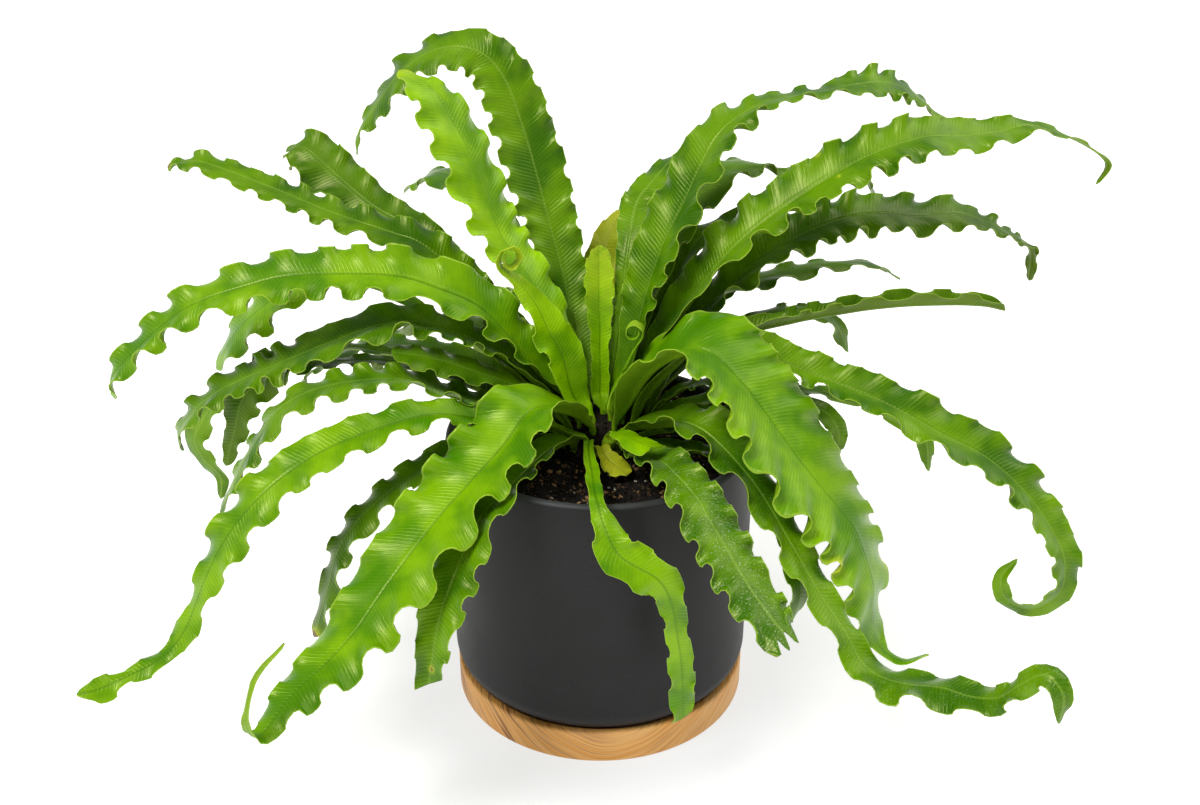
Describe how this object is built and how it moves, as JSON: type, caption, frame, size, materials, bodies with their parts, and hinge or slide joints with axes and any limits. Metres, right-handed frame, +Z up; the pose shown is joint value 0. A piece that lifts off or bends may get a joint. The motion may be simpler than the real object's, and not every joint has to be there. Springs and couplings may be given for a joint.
{
  "type": "potted fern",
  "caption": "Ruffled strap-leaved fern growing from a short rootstock in a straight-sided ceramic pot on a round wooden saucer, for a table or a shelf.",
  "frame": {"origin": "centre of the saucer's flat underside, on the floor, under the pot's axis", "axes": "+Z up along the pot's axis, +X to the right and +Y away from the viewer as in the picture"},
  "size_m": [0.5266, 0.4069, 0.3513],
  "materials": {
    "pot_ceramic": "matte charcoal, fine grained",
    "saucer_wood": "satin honey-coloured wood with darker streaks",
    "soil": "crumbly dark potting mix",
    "rootstock": "rough brown",
    "frond_mature": "glossy mid green",
    "frond_fresh": "glossy fresh green",
    "frond_young": "glossy lime green",
    "frond_shaded": "satin dark green",
    "frond_yellowing": "satin yellow green"
  },
  "bodies": {
    "root": {"wooden_saucer": "saucer_wood", "pot": "pot_ceramic", "soil": "soil", "rootstock": "rootstock", "small_crozier": "frond_young", "upright_young_frond": "frond_young", "lime_back_frond": "frond_young", "large_crozier": "frond_young", "broad_front_right_frond": "frond_fresh", "long_right_frond": "frond_mature", "tall_right_frond": "frond_mature", "slim_back_frond": "frond_mature", "tall_back_frond": "frond_mature", "high_left_frond": "frond_mature", "long_left_frond": "frond_fresh", "broad_front_left_frond": "frond_fresh", "trailing_right_frond": "frond_mature", "hooked_right_frond": "frond_mature", "dark_right_frond": "frond_shaded", "far_right_frond": "frond_shaded", "yellow_green_back_frond": "frond_yellowing", "small_back_left_frond": "frond_mature", "upper_left_frond": "frond_shaded", "middle_left_frond": "frond_mature", "rolled_left_frond": "frond_shaded", "long_lower_left_frond": "frond_fresh", "narrow_front_frond": "frond_fresh", "short_yellow_leaf": "frond_yellowing", "speckled_front_frond": "frond_mature", "short_lime_leaf": "frond_young", "hidden_front_right_frond": "frond_shaded", "short_dark_right_frond": "frond_shaded", "drooping_right_frond": "frond_shaded", "inner_right_frond": "frond_shaded", "thin_right_frond": "frond_mature", "folded_right_frond": "frond_shaded", "drooping_far_right_frond": "frond_shaded", "ragged_right_frond": "frond_shaded", "drooping_behind_right_frond": "frond_shaded", "low_back_frond_1": "frond_mature", "low_back_frond_2": "frond_mature", "low_back_frond_3": "frond_mature", "low_back_frond_4": "frond_shaded", "low_back_frond_5": "frond_shaded", "hanging_left_frond_1": "frond_mature", "middle_left_under_frond": "frond_fresh", "hanging_left_frond_2": "frond_shaded", "olive_left_frond": "frond_mature", "dark_lower_left_frond": "frond_shaded", "cut_front_left_frond": "frond_mature"}
  },
  "joints": []
}
